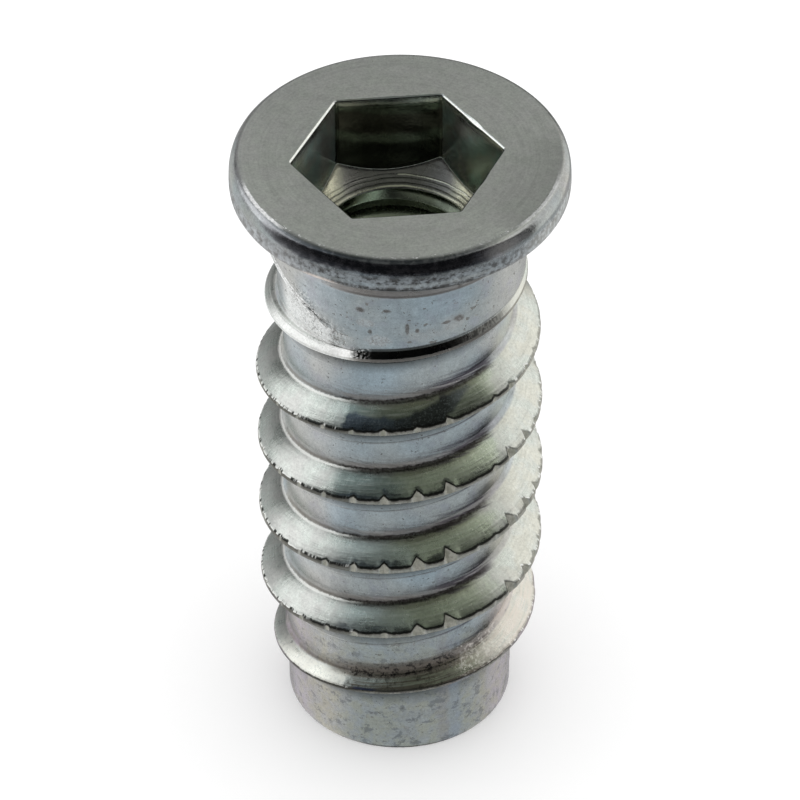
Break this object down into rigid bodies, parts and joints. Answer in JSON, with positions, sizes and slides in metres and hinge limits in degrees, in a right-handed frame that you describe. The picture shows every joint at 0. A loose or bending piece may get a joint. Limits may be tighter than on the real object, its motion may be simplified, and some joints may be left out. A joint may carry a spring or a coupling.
{
  "type": "threaded insert",
  "caption": "Flanged steel insert with a coarse outer wood thread, hexagon drive socket and threaded through bore.",
  "frame": {"origin": "centre of the lower end face, on the insert's axis", "axes": "+Z along the insert's axis, up to the flange; +X is 5.4 degrees clockwise from a corner of the hexagon socket, seen from above; -Y is the side seen in the picture"},
  "size_m": [0.0148, 0.0148, 0.0307],
  "materials": {
    "zinc_steel": "steel with a clear, slightly iridescent zinc plating, satin to semi-bright, finely pitted"
  },
  "bodies": {
    "root": {"insert": "zinc_steel"}
  },
  "joints": []
}
